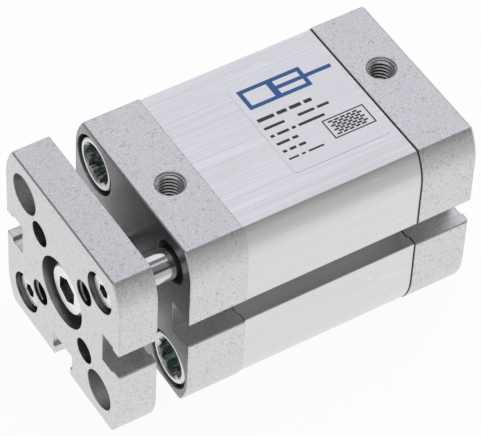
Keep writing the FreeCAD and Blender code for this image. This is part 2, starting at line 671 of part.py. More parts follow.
def make_piston():
    """Two piston halves that clamp the ring magnet, with seals, wear ring and nut."""
    bore = "(sizes.stud_diameter + 2 * sizes.thread_gap)"
    seal_bottom = f"({PISTON_DIAMETER} - 2 * sizes.piston_seal_depth)"
    groove_start = "sizes.piston_land"
    groove_end = "(sizes.piston_land + sizes.piston_seal_width)"
    grooved_rim = [
        (groove_end, PISTON_DIAMETER),
        (groove_end, seal_bottom),
        (groove_start, seal_bottom),
        (groove_start, PISTON_DIAMETER),
        ("0", PISTON_DIAMETER),
    ]
    well_depth = "(sizes.nut_length + sizes.nut_recess)"
    rear_half = turned_body("piston_rear_half", [
        ("0", NUT_WELL),
        (well_depth, NUT_WELL),
        (well_depth, bore),
        (PISTON_HALF, bore),
        (PISTON_HALF, PISTON_DIAMETER),
    ] + grooved_rim, PISTON_REAR)
    mirrored_rim = [(f"{PISTON_HALF} - {distance}", diameter) for distance, diameter in reversed(grooved_rim)]
    front_half = turned_body("piston_front_half", [
        ("0 - sizes.magnet_width", bore),
        (PISTON_HALF, bore),
    ] + mirrored_rim + [
        ("0", PISTON_DIAMETER),
        ("0", "sizes.magnet_boss"),
        ("0 - sizes.magnet_width", "sizes.magnet_boss"),
    ], f"({PISTON_FRONT} - {PISTON_HALF})")
    magnet_rear = f"({PISTON_REAR} + {PISTON_HALF})"
    running_diameter = "(sizes.bore_diameter - 2 * sizes.running_gap)"
    wear_inner = f"({running_diameter} - 2 * sizes.wear_ring_depth)"
    pieces = [
        rear_half,
        front_half,
        turned_ring("piston_magnet", "sizes.magnet_boss", wear_inner, "sizes.magnet_width", magnet_rear),
        turned_ring("wear_ring", wear_inner, running_diameter, "sizes.magnet_width", magnet_rear),
        turned_ring("piston_seal_rear", seal_bottom, running_diameter, "sizes.piston_seal_width",
                    f"({PISTON_REAR} + sizes.piston_land)"),
        turned_ring("piston_seal_front", seal_bottom, running_diameter, "sizes.piston_seal_width",
                    f"({PISTON_FRONT} - {groove_end})"),
    ]
    nut = new_body("piston_nut", f"({PISTON_REAR} + sizes.nut_recess)")
    flats = new_sketch(nut, "nut_sketch")
    draw_outline(flats, hexagon_corners("sizes.nut_flats"))
    draw_circle(flats, bore)
    pad(nut, flats, "nut_blank", "sizes.nut_length")
    return pieces + [nut]


def make_carriage():
    pieces = [make_yoke_plate(), make_piston_rod(), make_head_screw("yoke_screw", "yoke")]
    for level, place in (("upper", CORNER), ("lower", f"-{CORNER}")):
        pieces.append(make_guide_rod(f"guide_rod_{level}", place))
        pieces.append(make_head_screw(f"guide_screw_{level}", "guide", place, place))
    return pieces + make_piston()


# ------------------------------------------------------------- build and export

def failed_objects():
    return [item.Name for item in doc.Objects if {"Invalid", "Error"} & set(item.State)]


def cuts_that_miss(body):
    """Pockets and holes that leave the volume of their body as it was."""
    cuts = [item for item in body.Group if item.TypeId in ("PartDesign::Pocket", "PartDesign::Hole")]
    return [cut.Name for cut in cuts if cut.Shape.Volume >= cut.BaseFeature.Shape.Volume]


nodes = [make_end_cap(), make_barrel(), make_bearing_cap()]
nodes += make_collar_screws()
nodes += make_bearing_pieces()
nodes += make_carriage()
doc.recompute()

problems = failed_objects()
for node in nodes:
    if node.Shape.isNull() or not node.Shape.isValid() or len(node.Shape.Solids) != 1:
        problems.append(f"{node.Label}: not one valid solid")
    if node.TypeId == "PartDesign::Body":
        problems += [f"{node.Label}: {name} cuts nothing" for name in cuts_that_miss(node)]
if problems:
    raise RuntimeError("; ".join(problems))

os.makedirs("parts", exist_ok=True)
for node in nodes:
    node.Shape.exportStep(f"parts/{node.Label}.step")
print(f"{len(nodes)} nodes written")
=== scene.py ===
import json
import math

import bmesh
import bpy
from mathutils import Euler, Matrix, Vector

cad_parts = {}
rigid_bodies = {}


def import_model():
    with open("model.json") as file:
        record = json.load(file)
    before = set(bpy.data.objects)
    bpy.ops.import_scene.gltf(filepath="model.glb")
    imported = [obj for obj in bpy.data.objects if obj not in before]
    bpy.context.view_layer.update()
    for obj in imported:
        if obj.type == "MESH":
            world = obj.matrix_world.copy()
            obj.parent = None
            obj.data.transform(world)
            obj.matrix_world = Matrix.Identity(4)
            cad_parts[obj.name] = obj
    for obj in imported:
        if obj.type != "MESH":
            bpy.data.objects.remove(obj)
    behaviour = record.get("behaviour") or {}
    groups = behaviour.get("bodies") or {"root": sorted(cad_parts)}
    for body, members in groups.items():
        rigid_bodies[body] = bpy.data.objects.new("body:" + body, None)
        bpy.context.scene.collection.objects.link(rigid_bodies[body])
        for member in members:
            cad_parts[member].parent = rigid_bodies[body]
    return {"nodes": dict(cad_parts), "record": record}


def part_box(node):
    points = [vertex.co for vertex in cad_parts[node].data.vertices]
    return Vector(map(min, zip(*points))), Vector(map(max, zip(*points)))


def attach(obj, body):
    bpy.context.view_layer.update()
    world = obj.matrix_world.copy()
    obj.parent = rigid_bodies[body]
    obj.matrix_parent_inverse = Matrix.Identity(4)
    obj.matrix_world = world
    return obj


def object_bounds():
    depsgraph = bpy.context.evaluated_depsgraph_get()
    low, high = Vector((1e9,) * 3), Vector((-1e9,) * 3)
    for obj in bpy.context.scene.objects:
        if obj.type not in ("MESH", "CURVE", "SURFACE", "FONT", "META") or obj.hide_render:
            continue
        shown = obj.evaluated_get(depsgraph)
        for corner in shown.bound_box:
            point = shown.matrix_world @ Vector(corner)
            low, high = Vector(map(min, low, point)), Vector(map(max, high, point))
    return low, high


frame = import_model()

# Looks of a compact guided pneumatic cylinder. Metres, in the CAD frame: the rod axis is X, the
# yoke plate is at the +X end and the air ports look up along +Z.

CAD_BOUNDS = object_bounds()
MM = 0.001


def side(node, end, axis):
    """Low (0) or high (1) side of a CAD node along an axis."""
    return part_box(node)[end][axis]


def middle(node):
    low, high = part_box(node)
    return (Vector(low) + Vector(high)) / 2


SEAM_REAR = side("barrel", 0, 0)
SEAM_FRONT = side("barrel", 1, 0)
BARREL_TOP = side("barrel", 1, 2)
HOUSING_FRONT = side("bearing_cap", 1, 0)
YOKE_BACK = side("yoke_plate", 0, 0)
SCREW_CORNER = middle("collar_screw_front_upper").z
COLLAR_FACE_FRONT = side("collar_screw_front_upper", 1, 0)
COLLAR_FACE_REAR = side("collar_screw_rear_near_upper", 0, 0)
YOKE_SCREW_FACE = side("yoke_screw", 1, 0)
GUIDE_SCREW_FACE = side("guide_screw_upper", 1, 0)

# Places and radii of the machined details
PORT_INSET = 6.0 * MM
PORT_OFFSET = 2.6 * MM
PORT_DEPTH = 11.0 * MM
COUNTERSINK_RADIUS = 2.85 * MM
COUNTERSINK_DEPTH = 0.34 * MM
COUNTERSINK_LIP = 0.08 * MM     # height of its dark edge, which is painted shade
YOKE_HOLE_REACH = 11.0 * MM / math.sqrt(2)
GUIDE_WELL_RADIUS = 4.0 * MM
CENTRE_WELL_RADIUS = 7.0 * MM
SOCKET_DEPTH = 3.0 * MM
SOCKET_RADIUS = 4.4 * MM
SOCKET_LEAD_IN = 0.35 * MM
YOKE_HEXAGON_RADIUS = 2.95 * MM
YOKE_HEXAGON_LEAD_IN = 0.25 * MM
GUIDE_HEXAGON_RADIUS = 1.5 * MM
GUIDE_HEXAGON_LEAD_IN = 0.2 * MM

THREAD_RADIUS = 2.5 * MM
THREAD_PITCH = 0.8 * MM
RIDGE_DEPTH = 0.40 * MM
RIDGE_ROOT = 0.03 * MM
RIDGE_BASE = 0.66 * MM
RIDGE_CREST = 0.30              # share of the base's width

HAIR = 0.03 * MM                # how far a mask reaches past the wall that it covers
DRAWN = (0.012, 1, 1)           # stretch of the lines that run along the extrusion


# ------------------------------------------------------------------ shader maths

class Signal:
    """A shader socket. An expression on signals adds the Math nodes that work it out."""

    def __init__(self, finish, socket):
        self.finish = finish
        self.socket = socket

    def math(self, operation, *others):
        inputs = dict(enumerate((self, *others)))
        return self.finish.node("ShaderNodeMath", {"operation": operation}, inputs)

    def __add__(self, other):
        return self.math("ADD", other)

    def __sub__(self, other):
        return self.math("SUBTRACT", other)

    def __rsub__(self, other):
        return self.finish.node("ShaderNodeMath", {"operation": "SUBTRACT"}, {0: other, 1: self})

    def __mul__(self, other):
        return self.math("MULTIPLY", other)

    def __abs__(self):
        return self.math("ABSOLUTE")

    def above(self, level):
        return self.math("GREATER_THAN", level)

    def below(self, level):
        return self.math("LESS_THAN", level)

    def between(self, low, high):
        return self.above(low) * self.below(high)


class Finish:
    """A node material, or the world, with one method that adds any node."""

    def __init__(self, owner):
        owner.use_nodes = True
        self.owner = owner
        self.tree = owner.node_tree
        self.tree.nodes.clear()

    def node(self, kind, settings=None, inputs=None, output=0):
        made = self.tree.nodes.new(kind)
        for name, value in (settings or {}).items():
            if name == "stops":
                self.set_stops(made.color_ramp, value)
            else:
                setattr(made, name, value)
        for name, value in (inputs or {}).items():
            if isinstance(value, Signal):
                self.tree.links.new(value.socket, made.inputs[name])
            else:
                made.inputs[name].default_value = value
        return Signal(self, made.outputs[output]) if len(made.outputs) else made

    @staticmethod
    def set_stops(ramp, stops):
        while len(ramp.elements) < len(stops):
            ramp.elements.new(1)
        for element, (position, colour) in zip(ramp.elements, stops):
            element.position = position
            element.color = colour

    def mix(self, factor, first, second):
        """Colour between first and second."""
        inputs = {"Factor": factor, 6: first, 7: second}
        return self.node("ShaderNodeMix", {"data_type": "RGBA"}, inputs, output=2)

    def ramp(self, signal, *stops):
        return self.node("ShaderNodeValToRGB", {"stops": stops}, {0: signal})

    def where(self):
        return self.node("ShaderNodeTexCoord", output="Object")

    def noise(self, scale, detail, roughness=0.5, stretch=(1, 1, 1)):
        """Grain with the given number of waves per metre, stretched along the axes."""
        placed = self.node("ShaderNodeMapping", inputs={"Vector": self.where(), "Scale": stretch})
        inputs = {"Vector": placed, "Scale": scale, "Detail": detail, "Roughness": roughness}
        return self.node("ShaderNodeTexNoise", inputs=inputs)

    def axes(self):
        """The three object coordinates as signals."""
        split = self.node("ShaderNodeSeparateXYZ", inputs={"Vector": self.where()})
        outputs = split.socket.node.outputs
        return [Signal(self, outputs[axis]) for axis in range(3)]

    def bump(self, height, distance, strength, normal=None):
        inputs = {"Height": height, "Distance": distance, "Strength": strength}
        if normal is not None:
            inputs["Normal"] = normal
        return self.node("ShaderNodeBump", inputs=inputs)

    def surface(self, **inputs):
        """Principled surface. A socket's name is given with underscores for spaces."""
        named = {name.replace("_", " "): value for name, value in inputs.items()}
        shader = self.node("ShaderNodeBsdfPrincipled", inputs=named)
        self.node("ShaderNodeOutputMaterial", inputs={"Surface": shader})
        return self.owner


def new_finish(name):
    return Finish(bpy.data.materials.new(name))


def grey(level, blue=1.0):
    return (level, level, level * blue, 1)


def within(across, up, radius):
    """1 where a point is nearer than radius to the origin of two signals."""
    return (across * across + up * up).below(radius * radius)


# -------------------------------------------------------------------- finishes

def yoke_bores(x, y, z):
    """1 on the walls of the yoke's tapped holes and screw wells, and less on its other holes: where the
    cast finish paints shade.
    """
    small_holes = within(abs(y) - YOKE_HOLE_REACH, abs(z) - YOKE_HOLE_REACH, THREAD_RADIUS + HAIR)
    wells = within(abs(y) - SCREW_CORNER, abs(z) - SCREW_CORNER, GUIDE_WELL_RADIUS + HAIR)
    centre_well = within(y, z, CENTRE_WELL_RADIUS + HAIR) * 0.55
    threaded_side = (y * z).above(0.0)
    pin_holes = (1 - threaded_side) * small_holes * 0.7
    return x.above(YOKE_BACK) * (threaded_side * (small_holes + wells) + pin_holes + centre_well)


def near_ports(x, y, radius):
    """1 nearer than radius to the axis of an air port."""
    front = within(x - (HOUSING_FRONT - PORT_INSET), y - PORT_OFFSET, radius)
    rear = within(x - PORT_INSET, y + PORT_OFFSET, radius)
    return front + rear


def port_rims(x, y, z):
    """1 on the inner part of the countersinks of the two air ports, which the cast finish paints bright
    as a painted highlight.
    """
    cone = z.between(BARREL_TOP - COUNTERSINK_DEPTH + 0.01 * MM, BARREL_TOP - COUNTERSINK_LIP)
    return cone * near_ports(x, y, COUNTERSINK_RADIUS + HAIR)


def port_bores(x, y, z):
    """1 on the walls of the two air ports, between the turns of the thread, and on their edges: where
    the cast finish paints shade.
    """
    walls = z.between(BARREL_TOP - PORT_DEPTH, BARREL_TOP - COUNTERSINK_DEPTH)
    lips = z.between(BARREL_TOP - COUNTERSINK_LIP, BARREL_TOP - 0.005 * MM)
    return (walls * near_ports(x, y, THREAD_RADIUS + HAIR)
            + lips * near_ports(x, y, COUNTERSINK_RADIUS + HAIR))


def collar_socket(x, y, z):
    """1 in the toothed sockets of all the collar screws, below their lead-in cones."""
    deep = x.between(COLLAR_FACE_REAR + SOCKET_LEAD_IN, COLLAR_FACE_FRONT - SOCKET_LEAD_IN)
    return deep * within(abs(y) - SCREW_CORNER, abs(z) - SCREW_CORNER, SOCKET_RADIUS)


def hexagon_sockets(x, y, z):
    """1 in the hexagons of the yoke screw and of the guide rods' screws."""
    centre = within(y, z, YOKE_HEXAGON_RADIUS)
    corners = within(abs(y) - SCREW_CORNER, abs(z) - SCREW_CORNER, GUIDE_HEXAGON_RADIUS)
    return (x.below(YOKE_SCREW_FACE - YOKE_HEXAGON_LEAD_IN) * centre
            + x.below(GUIDE_SCREW_FACE - GUIDE_HEXAGON_LEAD_IN) * corners)


def cast_aluminium():
    """Die casting with a fine blasted grain and slightly rounded edges, with painted shade in the
    bores, on the countersinks' top edges and on the faces of the gap to the yoke, and a painted
    highlight on the countersinks.
    """
    finish = new_finish("cast_aluminium")
    x, y, z = finish.axes()
    cloud = finish.noise(140, detail=3)
    grain = finish.noise(3300, detail=4, roughness=0.7)
    base = finish.mix(cloud, grey(0.62, blue=1.01), grey(0.68, blue=1.01))
    grained = finish.ramp(grain, (0.30, grey(0.40)), (0.50, grey(0.66)), (0.68, grey(0.92)))
    flecks = finish.ramp(finish.noise(1500, detail=2), (0.30, grey(0.5)), (0.40, grey(0.0)))
    blasted = finish.mix(flecks, finish.mix(0.56, base, grained), grey(0.34, blue=1.05))

    # Painted shade on the two faces of the gap between the bearing cap and the yoke plate, mottled and
    # darker towards +Y
    gap_faces = x.between(HOUSING_FRONT - 0.02 * MM, YOKE_BACK + 0.02 * MM)
    gap_shade_noise = finish.noise(1300, detail=4, roughness=0.7)
    mottled_gap_shade = finish.ramp(gap_shade_noise, (0.34, grey(0.26)), (0.66, grey(0.39)))
    painted_shade = finish.mix(y * 14 + 0.22, mottled_gap_shade, grey(0.15))

    # Painted shade: the walls of the bores and the top edges of the port countersinks are painted dark.
    # Painted highlight: the countersinks' inner cones are painted nearly white and barely metallic.
    painted_rim_highlight = port_rims(x, y, z)
    bore_shade = yoke_bores(x, y, z) + port_bores(x, y, z)
    outside = finish.mix(gap_faces, blasted, painted_shade)
    with_rim_highlight = finish.mix(painted_rim_highlight, outside, finish.mix(cloud, grey(0.84), grey(0.94)))
    colour = finish.mix(bore_shade, with_rim_highlight, finish.mix(cloud, grey(0.18), grey(0.26)))
    edge = finish.node("ShaderNodeBevel", {"samples": 4}, {"Radius": 0.22 * MM})
    normal = finish.bump(grain * (1 - gap_faces), 0.045 * MM, 0.65, edge)
    return finish.surface(Base_Color=colour, Metallic=1 - painted_rim_highlight * 0.9, Roughness=cloud * 0.08 + 0.30,
                          Normal=normal)


def drawn_anodising():
    """Clear anodised extrusion with fine lines along the drawing direction, strongest on top."""
    finish = new_finish("drawn_anodising")
    _, _, z = finish.axes()
    top = z.above(BARREL_TOP - 0.05 * MM)
    lines = finish.noise(2600, detail=4, roughness=0.7, stretch=DRAWN)
    broad = finish.noise(420, detail=2, stretch=(0.05, 1, 1))
    scratches = finish.noise(900, detail=2, stretch=(0.25, 1, 1)).above(0.69) * 0.35
    streaks = finish.noise(1100, detail=3, roughness=0.6, stretch=(0.006, 1, 1))
    base = finish.ramp(lines, (0.34, grey(0.62)), (0.50, grey(0.70)), (0.66, grey(0.79)))
    streaked = finish.mix(finish.ramp(streaks, (0.36, grey(0.5)), (0.46, grey(0.0))), base, grey(0.62))
    drawn = finish.mix(top * 0.6 + 0.4, grey(0.70), streaked)
    colour = finish.mix(scratches, finish.mix(broad * 0.4, drawn, grey(0.77)), grey(0.84))
    normal = finish.bump(lines, 0.012 * MM, 0.6)
    return finish.surface(Base_Color=colour, Metallic=1.0, Roughness=broad * 0.10 + 0.26, Normal=normal)


def grained_finish(name, scale, tones, roughness, bump=None, detail=3, metallic=0.0,
                   stretch=(1, 1, 1)):
    """One grain sets all: tones is (dark, pale), roughness (span, lowest), bump (mm, strength)."""
    finish = new_finish(name)
    grain = finish.noise(scale, detail=detail, stretch=stretch)
    span, lowest = roughness
    look = {"Base_Color": finish.mix(grain, *tones), "Roughness": grain * span + lowest}
    if bump:
        depth, strength = bump
        look["Normal"] = finish.bump(grain, depth * MM, strength)
    return finish.surface(Metallic=metallic, **look)


def cut_thread(name, *tones):
    return grained_finish(name, 3800, tones, roughness=(0.12, 0.22), bump=(0.01, 0.4), metallic=1.0)


def print_ink(name, *tones):
    """Printed ink that covers a little unevenly."""
    return grained_finish(name, 2600, tones, roughness=(0.15, 0.4))


def plated_finish(name, inside, dark, pale, painted_glint_share):
    """Bright zinc plate with turning marks. Where inside is 1, painted shade from dark to pale with
    painted glints; where glints are asked for, the faces round the sockets are made less metallic to
    look brighter.
    """
    finish = new_finish(name)
    patches = finish.noise(900, detail=3)
    marks = finish.noise(4200, detail=2, stretch=(1, 0.15, 0.15))
    inner = inside(*finish.axes())
    # Painted glints: near-white, barely metallic specks in the sockets that stand for highlights on the
    # teeth
    painted_glints = finish.noise(1700, detail=2, stretch=(0.3, 1, 1)).above(0.59) * inner * painted_glint_share
    bright = finish.mix(patches, grey(0.74), grey(0.93))
    # Painted shade: the insides of the sockets are painted dark to pale
    painted_shade = finish.mix(patches, dark, pale)
    colour = finish.mix(painted_glints, finish.mix(inner, bright, painted_shade), grey(0.95))
    normal = finish.bump(marks, 0.006 * MM, 0.4)
    dull = painted_glints * 0.6 + (1 - inner) * painted_glint_share * 0.3
    return finish.surface(Base_Color=colour, Metallic=1 - dull, Roughness=patches * 0.2 + 0.16,
                          Normal=normal)


def label_film():
    """Clear film over the drawn barrel, which shows through it."""
    finish = new_finish("label_film")
    lines = finish.noise(2600, detail=3, stretch=DRAWN)
    cloud = finish.noise(300, detail=2)
    base = finish.mix(lines, grey(0.66), grey(0.75))
    colour = finish.mix(cloud * 0.3, base, grey(0.76))
    normal = finish.bump(cloud, 0.004 * MM, 0.3)
    return finish.surface(Base_Color=colour, Metallic=1.0, Roughness=cloud * 0.08 + 0.27, Normal=normal)


# Collar screws: painted shade with a greenish tint and painted glints in their toothed sockets
COLLAR_ZINC = plated_finish("collar_zinc", collar_socket,
                            (0.22, 0.30, 0.26, 1), (0.66, 0.74, 0.70, 1), painted_glint_share=0.9)
# Painted shade: the cut threads are painted darker than cut metal for the shade inside their holes, the
# yoke's much darker than the ports'
PORT_THREAD = cut_thread("port_thread", grey(0.42), grey(0.72))
YOKE_THREAD_SHADED = cut_thread("yoke_thread_painted_shade", grey(0.20), grey(0.34))
JOINT_SHADOW = grained_finish("joint_shadow", 1200, (grey(0.012), grey(0.05)),
                              roughness=(0.2, 0.5), detail=2)
LABEL_FILM = label_film()
BLUE_INK = print_ink("blue_ink", (0.008, 0.07, 0.24, 1), (0.02, 0.13, 0.36, 1))
BLACK_INK = print_ink("black_ink", grey(0.012), grey(0.05))
GREY_INK = print_ink("grey_ink", grey(0.16), grey(0.26))

FINISH_OF_SLOT = {
    "cast_cap": cast_aluminium(),
    "anodised_barrel": drawn_anodising(),
    "hard_chrome": grained_finish(
        "hard_chrome", 3000, (grey(0.62), grey(0.74)),
        roughness=(0.06, 0.07), bump=(0.002, 0.3), metallic=1.0, stretch=(1, 0.02, 0.02)),
    # Screw heads: painted shade in their hexagon sockets
    "zinc_steel": plated_finish("screw_zinc", hexagon_sockets, grey(0.22), grey(0.42), painted_glint_share=0.0),
    "bush_bronze": grained_finish(
        "sintered_bronze", 3500, ((0.30, 0.19, 0.09, 1), (0.58, 0.42, 0.22, 1)),
        roughness=(0.2, 0.38), bump=(0.02, 0.6), metallic=1.0),
    "black_rubber": grained_finish(
        "black_rubber", 2500, (grey(0.010), grey(0.022)), roughness=(0.2, 0.5), bump=(0.02, 0.4)),
    "cushion_polyurethane": grained_finish(
        "cushion_polyurethane", 700, ((0.05, 0.09, 0.20, 1), (0.08, 0.13, 0.27, 1)),
        roughness=(0.2, 0.35), bump=(0.02, 0.3), detail=2),
    "piston_aluminium": grained_finish(
        "turned_aluminium", 5000, (grey(0.55), grey(0.75)),
        roughness=(0.15, 0.25), bump=(0.01, 0.5), detail=2, metallic=1.0, stretch=(1, 0.05, 0.05)),
    "bonded_magnet": grained_finish(
        "bonded_magnet", 3000, (grey(0.02, blue=1.1), grey(0.06, blue=1.1)),
        roughness=(0.2, 0.5), bump=(0.01, 0.5)),
    "wear_ring_plastic": grained_finish(
        "wear_ring_plastic", 900, ((0.52, 0.47, 0.36, 1), (0.62, 0.57, 0.45, 1)),
        roughness=(0.15, 0.4), bump=(0.01, 0.3), detail=2),
}


def paint(piece, *finishes):
    piece.data.materials.clear()
    for finish in finishes:
        piece.data.materials.append(finish)


def dress_frame():
    """Give every CAD node the finish of its material slot."""
    for part in frame["record"]["subparts"]:
        node = frame["nodes"][part["node"]]
        if part["node"].startswith("collar_screw"):
            paint(node, COLLAR_ZINC)
        else:
            paint(node, FINISH_OF_SLOT[part["material_slot"]])


# ------------------------------------------------------------- modelling helpers

def pick(piece):
    """Make the piece the only selected one."""
    bpy.ops.object.select_all(action="DESELECT")
    bpy.context.view_layer.objects.active = piece
    piece.select_set(True)


def rename(piece, name):
    piece.name = name
    piece.data.name = name
    return piece


def edit(piece):
    """Open the piece in edit mode with nothing selected."""
    pick(piece)
    bpy.ops.object.mode_set(mode="EDIT")
    bpy.ops.mesh.select_all(action="DESELECT")


def select_where(piece, kind, test):
    """Select the verts, edges or faces that pass the test, and nothing else."""
    bpy.ops.mesh.select_mode(type={"verts": "VERT", "edges": "EDGE", "faces": "FACE"}[kind])
    bpy.ops.mesh.select_all(action="DESELECT")
    mesh = bmesh.from_edit_mesh(piece.data)
    for item in getattr(mesh, kind):
        item.select = bool(test(item))
    mesh.select_flush_mode()
    bmesh.update_edit_mesh(piece.data)


def close_edit():
    """Turn every face outwards and leave edit mode."""
    bpy.ops.mesh.select_all(action="SELECT")
    bpy.ops.mesh.normals_make_consistent(inside=False)
    if bmesh.from_edit_mesh(bpy.context.object.data).calc_volume(signed=True) < 0:
        bpy.ops.mesh.flip_normals()
    bpy.ops.object.mode_set(mode="OBJECT")


def freeze(piece):
    """Move the piece's place and turn into its mesh."""
    pick(piece)
    bpy.ops.object.transform_apply(location=True, rotation=True, scale=True)


def add_block(low, high):
    """A box between two corners."""
    low, high = Vector(low), Vector(high)
    bpy.ops.object.select_all(action="DESELECT")
    bpy.ops.mesh.primitive_cube_add(size=1, location=(low + high) / 2, scale=high - low)
    block = bpy.context.object
    freeze(block)
    return block


def copy_of(piece, name):
    """A copy with its own mesh."""
    pick(piece)
    bpy.ops.object.duplicate(linked=False)
    return rename(bpy.context.object, name)


def join(pieces, name):
    pick(pieces[0])
    for piece in pieces:
        piece.select_set(True)
    bpy.ops.object.join()
    return rename(bpy.context.object, name)


def finish_piece(piece, body, slot, *finishes):
    paint(piece, *finishes)
    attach(piece, body)


# -------------------------------------------------------------------- threads

def wind_ridge(turns):
    """Thread ridge of a tapped hole, wound up Z from the origin and closed at both ends."""
    middle_radius = THREAD_RADIUS + RIDGE_ROOT - RIDGE_DEPTH / 2
    bpy.ops.object.select_all(action="DESELECT")
    bpy.ops.mesh.primitive_plane_add(size=1, rotation=(math.pi / 2, 0, 0),
                                     location=(middle_radius, 0, 0))
    ridge = bpy.context.object
    ridge.scale = (RIDGE_DEPTH, RIDGE_BASE, 1)
    freeze(ridge)
    edit(ridge)
    select_where(ridge, "verts", lambda vertex: vertex.co.x < middle_radius)
    bpy.ops.transform.resize(value=(1, 1, RIDGE_CREST), center_override=(middle_radius, 0, 0))
    bpy.ops.mesh.select_all(action="SELECT")
    bpy.ops.mesh.delete(type="ONLY_FACE")
    bpy.ops.object.mode_set(mode="OBJECT")
    winding = ridge.modifiers.new("winding", "SCREW")
    winding.screw_offset = THREAD_PITCH
    winding.iterations = turns
    winding.steps = 36
    winding.render_steps = 36
    bpy.ops.object.modifier_apply(modifier=winding.name)
    edit(ridge)
    bpy.ops.mesh.select_mode(type="EDGE")
    bpy.ops.mesh.select_non_manifold(extend=False, use_wire=False, use_multi_face=False,
                                     use_non_contiguous=False, use_verts=False)
    bpy.ops.mesh.fill_holes(sides=4)
    close_edit()
    bpy.ops.object.shade_smooth_by_angle(angle=math.radians(35))
    return ridge


def lay_ridges(turns, places, body, slot, finish):
    """Copies of one ridge. places gives each one's name, start and turn from Z."""
    pattern = wind_ridge(turns)
    for name, start, turn in places:
        ridge = copy_of(pattern, name)
        ridge.location = start
        ridge.rotation_euler = turn
        freeze(ridge)
        finish_piece(ridge, body, slot, finish)
    pick(pattern)
    bpy.ops.object.delete()


def cut_threads():
    """Threads of the two ports, the yoke's tapped holes and the six collar screws."""
    upwards, forwards, backwards = (0, 0, 0), (0, math.pi / 2, 0), (0, -math.pi / 2, 0)
    port_turns, yoke_turns, collar_turns = 11, 8, 14

    port_foot = BARREL_TOP - 9.4 * MM
    lay_ridges(port_turns, [
        ("thread_port_front", (HOUSING_FRONT - PORT_INSET, PORT_OFFSET, port_foot), upwards),
        ("thread_port_rear", (PORT_INSET, -PORT_OFFSET, port_foot), upwards),
    ], "housing", "cast_cap", PORT_THREAD)

    yoke_foot = YOKE_BACK + 0.4 * MM
    lay_ridges(yoke_turns, [
        (f"thread_yoke_{level}", (yoke_foot, way * YOKE_HOLE_REACH, way * YOKE_HOLE_REACH), forwards)
        for level, way in (("upper", 1), ("lower", -1))
    ], "carriage", "cast_cap", YOKE_THREAD_SHADED)

    collar_foot = SOCKET_DEPTH + 0.45 * MM + collar_turns * THREAD_PITCH
    places = []
    for node in sorted(frame["nodes"]):
        if node.startswith("collar_screw"):
            _, y, z = middle(node)
            if "front" in node:
                places.append((f"thread_{node}", (COLLAR_FACE_FRONT - collar_foot, y, z), forwards))
            else:
                places.append((f"thread_{node}", (COLLAR_FACE_REAR + collar_foot, y, z), backwards))
    lay_ridges(collar_turns, places, "housing", "zinc_steel", COLLAR_ZINC)


# ------------------------------------------------------------------ cap joints

NEAR_ZERO = 0.001 * MM


def seam_line(name, cut, width, proud):
    """Thin dark line round the barrel's skin, slots included, centred on the plane X = cut."""
    skin = bpy.data.objects.new(name, frame["nodes"]["barrel"].data.copy())
    bpy.context.scene.collection.objects.link(skin)
    rename(skin, name)
    edit(skin)
    bpy.ops.mesh.select_all(action="SELECT")
    bpy.ops.mesh.remove_doubles(threshold=NEAR_ZERO)
    bpy.ops.mesh.bisect(plane_co=(cut, 0, 0), plane_no=(1, 0, 0), threshold=NEAR_ZERO,
                        clear_inner=True, clear_outer=True)
    outermost = max(vertex.co.y for vertex in bmesh.from_edit_mesh(skin.data).verts)
    select_where(skin, "verts", lambda vertex: vertex.co.y > outermost - NEAR_ZERO)
    bpy.ops.mesh.select_linked()
    bpy.ops.mesh.select_all(action="INVERT")
    bpy.ops.mesh.delete(type="VERT")
    bpy.ops.mesh.select_all(action="SELECT")
    bpy.ops.transform.translate(value=(-width / 2, 0, 0))
    bpy.ops.mesh.extrude_region_move(TRANSFORM_OT_translate={"value": (width, 0, 0)})
    close_edit()

    # One third of the wall stands out of the skin, and the rest sinks into it
    wall = skin.modifiers.new("wall", "SOLIDIFY")
    wall.thickness = 3 * proud
    wall.offset = -1 / 3
    bpy.ops.object.modifier_apply(modifier=wall.name)
    edit(skin)
    close_edit()
    finish_piece(skin, "housing", "black_rubber", JOINT_SHADOW)


# ----------------------------------------------------------------------- label

LABEL_FRONT = SEAM_REAR + 21.5 * MM
LABEL_LENGTH = 20.3 * MM
LABEL_FAR = -12.0 * MM
LABEL_NEAR = 11.3 * MM
FILM_TOP = BARREL_TOP + 0.04 * MM
INK_TOP = FILM_TOP + 0.012 * MM
INK_LAYER = 0.004 * MM
INK_CORNER = 0.07 * MM
FILM_CORNER = 1.0 * MM
FILM_OUTLINE = 0.09 * MM


def is_upright(edge):
    first, second = edge.verts
    return abs(first.co.z - second.co.z) > NEAR_ZERO


def ink_bar(start, length, far, near, layer=0):
    """Flat bar of ink, in mm from the film's front edge. Bars that cross lie in layers."""
    begin = LABEL_FRONT - start * MM
    top = INK_TOP + layer * INK_LAYER
    return add_block((begin - length * MM, far * MM, BARREL_TOP), (begin, near * MM, top))


def ink_frame(start, length, far, near, stroke):
    """Rectangular outline of ink."""
    outline = ink_bar(start, length, far, near)
    edit(outline)
    select_where(outline, "faces", lambda face: abs(face.normal.z) > 0.9)
    bpy.ops.mesh.inset(thickness=stroke * MM, depth=0)
    bpy.ops.mesh.bridge_edge_loops()
    close_edit()
    return outline


def print_ink_piece(bars, name, finish):
    """Join the bars, and round their corners as ink does."""
    piece = join(bars, name)
    edit(piece)
    select_where(piece, "edges", is_upright)
    bpy.ops.mesh.bevel(offset=INK_CORNER, segments=2)
    close_edit()
    finish_piece(piece, "housing", "anodised_barrel", finish)


